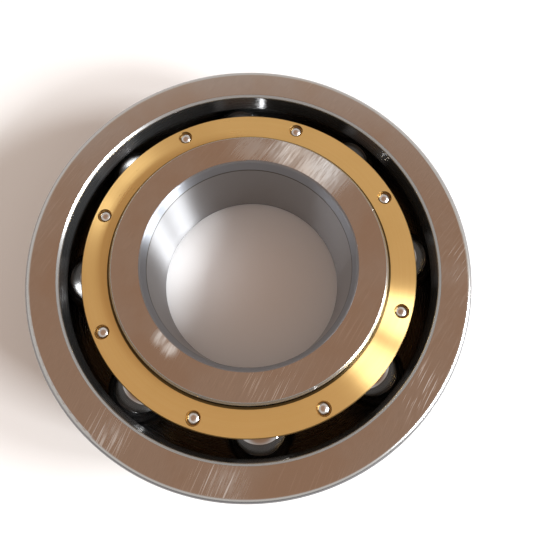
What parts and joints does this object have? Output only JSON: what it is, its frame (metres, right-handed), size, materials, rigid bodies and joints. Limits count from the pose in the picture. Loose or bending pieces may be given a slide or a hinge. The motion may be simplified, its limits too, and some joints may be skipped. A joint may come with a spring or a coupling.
{
  "type": "angular contact ball bearing",
  "caption": "Single-row angular contact ball bearing: counterbored outer ring, inner ring with high shoulder, balls in a riveted two-piece machined brass cage.",
  "frame": {"origin": "centre of the bore at the middle of the width, which is also the middle of the bounding box", "axes": "+Z along the bearing axis towards the open side, where the outer ring is counterbored and the inner ring has its high shoulder; +X through the centre of ball_1"},
  "size_m": [0.17, 0.17, 0.039],
  "materials": {
    "ring_steel": "ground and oiled",
    "ball_steel": "lapped mirror",
    "cage_brass": "turned satin",
    "rivet_steel": "upset domed head"
  },
  "bodies": {
    "outer_ring": {"outer_ring": "ring_steel"},
    "inner_ring": {"inner_ring": "ring_steel"},
    "cage": {"cage_front": "cage_brass", "cage_rear": "cage_brass", "rivet_1": "rivet_steel", "rivet_2": "rivet_steel", "rivet_3": "rivet_steel", "rivet_4": "rivet_steel", "rivet_5": "rivet_steel", "rivet_6": "rivet_steel", "rivet_7": "rivet_steel", "rivet_8": "rivet_steel"},
    "ball_1": {"ball_1": "ball_steel"},
    "ball_2": {"ball_2": "ball_steel"},
    "ball_3": {"ball_3": "ball_steel"},
    "ball_4": {"ball_4": "ball_steel"},
    "ball_5": {"ball_5": "ball_steel"},
    "ball_6": {"ball_6": "ball_steel"},
    "ball_7": {"ball_7": "ball_steel"},
    "ball_8": {"ball_8": "ball_steel"}
  },
  "joints": [
    {"name": "inner_ring_spin", "type": "hinge", "parent": "outer_ring", "child": "inner_ring", "pos_m": [0, 0, 0], "axis": [0, 0, 1], "continuous": true},
    {"name": "cage_spin", "type": "hinge", "parent": "outer_ring", "child": "cage", "pos_m": [0, 0, 0], "axis": [0, 0, 1], "continuous": true},
    {"name": "ball_1_spin", "type": "hinge", "parent": "cage", "child": "ball_1", "pos_m": [0.0625, 0, 0], "axis": [0.5, 0, 0.866], "continuous": true},
    {"name": "ball_2_spin", "type": "hinge", "parent": "cage", "child": "ball_2", "pos_m": [0.04419, 0.04419, 0], "axis": [0.3536, 0.3536, 0.866], "continuous": true},
    {"name": "ball_3_spin", "type": "hinge", "parent": "cage", "child": "ball_3", "pos_m": [0, 0.0625, 0], "axis": [0, 0.5, 0.866], "continuous": true},
    {"name": "ball_4_spin", "type": "hinge", "parent": "cage", "child": "ball_4", "pos_m": [-0.04419, 0.04419, 0], "axis": [-0.3536, 0.3536, 0.866], "continuous": true},
    {"name": "ball_5_spin", "type": "hinge", "parent": "cage", "child": "ball_5", "pos_m": [-0.0625, 0, 0], "axis": [-0.5, 0, 0.866], "continuous": true},
    {"name": "ball_6_spin", "type": "hinge", "parent": "cage", "child": "ball_6", "pos_m": [-0.04419, -0.04419, 0], "axis": [-0.3536, -0.3536, 0.866], "continuous": true},
    {"name": "ball_7_spin", "type": "hinge", "parent": "cage", "child": "ball_7", "pos_m": [0, -0.0625, 0], "axis": [0, -0.5, 0.866], "continuous": true},
    {"name": "ball_8_spin", "type": "hinge", "parent": "cage", "child": "ball_8", "pos_m": [0.04419, -0.04419, 0], "axis": [0.3536, -0.3536, 0.866], "continuous": true}
  ],
  "couplings": [
    {"joint": "cage_spin", "follows": "inner_ring_spin", "ratio": 0.40101},
    {"joint": "ball_1_spin", "follows": "inner_ring_spin", "ratio": -2.1015},
    {"joint": "ball_2_spin", "follows": "inner_ring_spin", "ratio": -2.1015},
    {"joint": "ball_3_spin", "follows": "inner_ring_spin", "ratio": -2.1015},
    {"joint": "ball_4_spin", "follows": "inner_ring_spin", "ratio": -2.1015},
    {"joint": "ball_5_spin", "follows": "inner_ring_spin", "ratio": -2.1015},
    {"joint": "ball_6_spin", "follows": "inner_ring_spin", "ratio": -2.1015},
    {"joint": "ball_7_spin", "follows": "inner_ring_spin", "ratio": -2.1015},
    {"joint": "ball_8_spin", "follows": "inner_ring_spin", "ratio": -2.1015}
  ]
}
